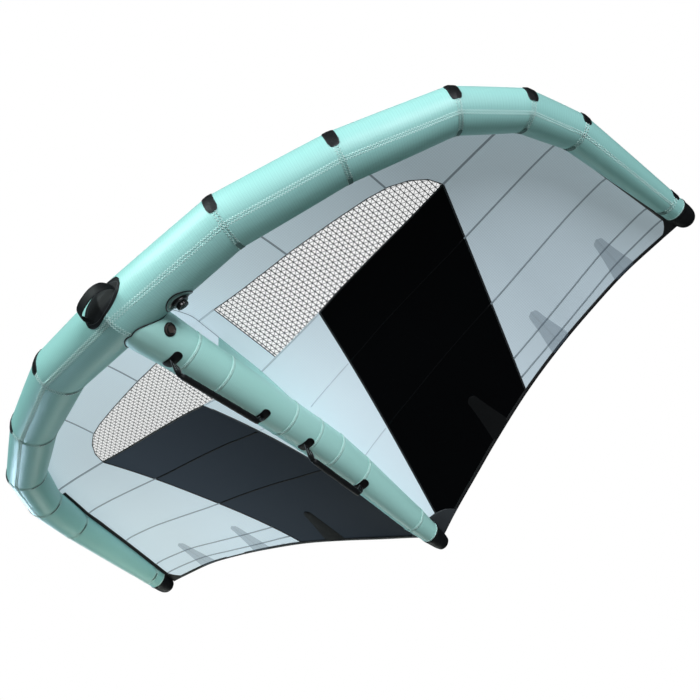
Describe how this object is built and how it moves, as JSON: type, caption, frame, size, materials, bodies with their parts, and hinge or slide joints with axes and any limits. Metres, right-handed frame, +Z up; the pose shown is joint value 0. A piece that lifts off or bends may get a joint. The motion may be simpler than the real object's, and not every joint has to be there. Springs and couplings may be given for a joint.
{
  "type": "wingfoil wing",
  "caption": "Inflatable hand-held wing with a swept tube along its front edge, a centre strut with padded grips, a cloth canopy with windows, and battens along its trailing edge.",
  "frame": {"origin": "The middle of the strut's underside, at the gap between its grips, where the wing balances and is held up.", "axes": "+X to the wing's right, along the span, with the nose to the front at -Y; +Y backwards along the strut to the trailing edge; +Z up through the canopy, away from the grips."},
  "size_m": [3.3094, 1.9527, 0.6513],
  "materials": {
    "mint_cloth": "taut woven polyester of the inflated tubes, satin",
    "black_rubber": "matt moulded rubber with a fine grain",
    "grey_cloth": "thin coated ripstop canopy cloth, satin",
    "window_film": "clear film laminated over a diagonal grid of threads",
    "black_cloth": "thin coated ripstop canopy cloth, satin",
    "dark_cloth": "doubled cloth with a fine weave, matt",
    "black_webbing": "woven webbing and reinforcing cloth, matt",
    "black_plastic": "moulded, slightly glossy"
  },
  "bodies": {
    "wing": {"edge_1_left": "mint_cloth", "edge_2_left": "mint_cloth", "edge_3_left": "mint_cloth", "edge_4_left": "mint_cloth", "edge_5_left": "mint_cloth", "edge_6_left": "mint_cloth", "edge_1_right": "mint_cloth", "edge_2_right": "mint_cloth", "edge_3_right": "mint_cloth", "edge_4_right": "mint_cloth", "edge_5_right": "mint_cloth", "edge_6_right": "mint_cloth", "tip_boot_left": "black_rubber", "tip_boot_right": "black_rubber", "scuff_pad_1_left": "black_rubber", "scuff_pad_2_left": "black_rubber", "scuff_pad_3_left": "black_rubber", "scuff_pad_4_left": "black_rubber", "scuff_pad_5_left": "black_rubber", "scuff_pad_6_left": "black_rubber", "scuff_pad_1_right": "black_rubber", "scuff_pad_2_right": "black_rubber", "scuff_pad_3_right": "black_rubber", "scuff_pad_4_right": "black_rubber", "scuff_pad_5_right": "black_rubber", "scuff_pad_6_right": "black_rubber", "strut": "mint_cloth", "strut_end_cap": "black_rubber", "strut_web": "grey_cloth", "strut_flap": "mint_cloth", "canopy_nose_left": "grey_cloth", "canopy_nose_right": "grey_cloth", "canopy_window_left": "window_film", "canopy_window_right": "window_film", "canopy_dark_left": "black_cloth", "canopy_dark_right": "black_cloth", "canopy_outer_left": "grey_cloth", "canopy_outer_right": "grey_cloth", "canopy_strip": "grey_cloth", "canopy_tail": "grey_cloth", "trailing_hem": "black_webbing", "tail_patch": "dark_cloth", "batten_inner_left": "dark_cloth", "batten_inner_right": "dark_cloth", "batten_middle_left": "dark_cloth", "batten_middle_right": "dark_cloth", "batten_outer_left": "dark_cloth", "batten_outer_right": "dark_cloth", "grip_patch_front_head": "black_webbing", "grip_patch_front_foot": "black_webbing", "grip_patch_rear_head": "black_webbing", "grip_patch_rear_foot": "black_webbing", "loop_patch": "black_webbing", "edge_valve": "black_plastic", "strut_valve": "black_plastic"},
    "front_grip": {"grip_front": "black_webbing"},
    "rear_grip": {"grip_rear": "black_webbing"},
    "loop": {"nose_loop": "black_webbing"},
    "valve_cap": {"edge_valve_cap": "black_plastic"},
    "valve_plug": {"strut_valve_plug": "black_plastic"}
  },
  "joints": [
    {"name": "front_grip_swing", "type": "hinge", "parent": "wing", "child": "front_grip", "pos_m": [0, -0.575, -0.02687], "axis": [0, 0.9993, 0.0384], "range_deg": [-70, 70]},
    {"name": "rear_grip_swing", "type": "hinge", "parent": "wing", "child": "rear_grip", "pos_m": [0, 0.115, -0.00267], "axis": [0, 0.9976, -0.0699], "range_deg": [-70, 70]},
    {"name": "nose_loop_fold", "type": "hinge", "parent": "wing", "child": "loop", "pos_m": [-0.00026, -0.91144, 0.02053], "axis": [0.9703, -0.121, 0.2095], "range_deg": [-70, 70], "stiffness_Nm_per_rad": 0.05},
    {"name": "edge_valve_cap_turn", "type": "hinge", "parent": "wing", "child": "valve_cap", "pos_m": [0.18587, -0.69684, 0.03434], "axis": [0.066, 0.7577, -0.6492], "range_deg": [0, 90]},
    {"name": "strut_valve_plug_pull", "type": "slide", "parent": "wing", "child": "valve_plug", "axis": [0.8572, 0.0752, -0.5094], "range_m": [0, 0.012]}
  ]
}
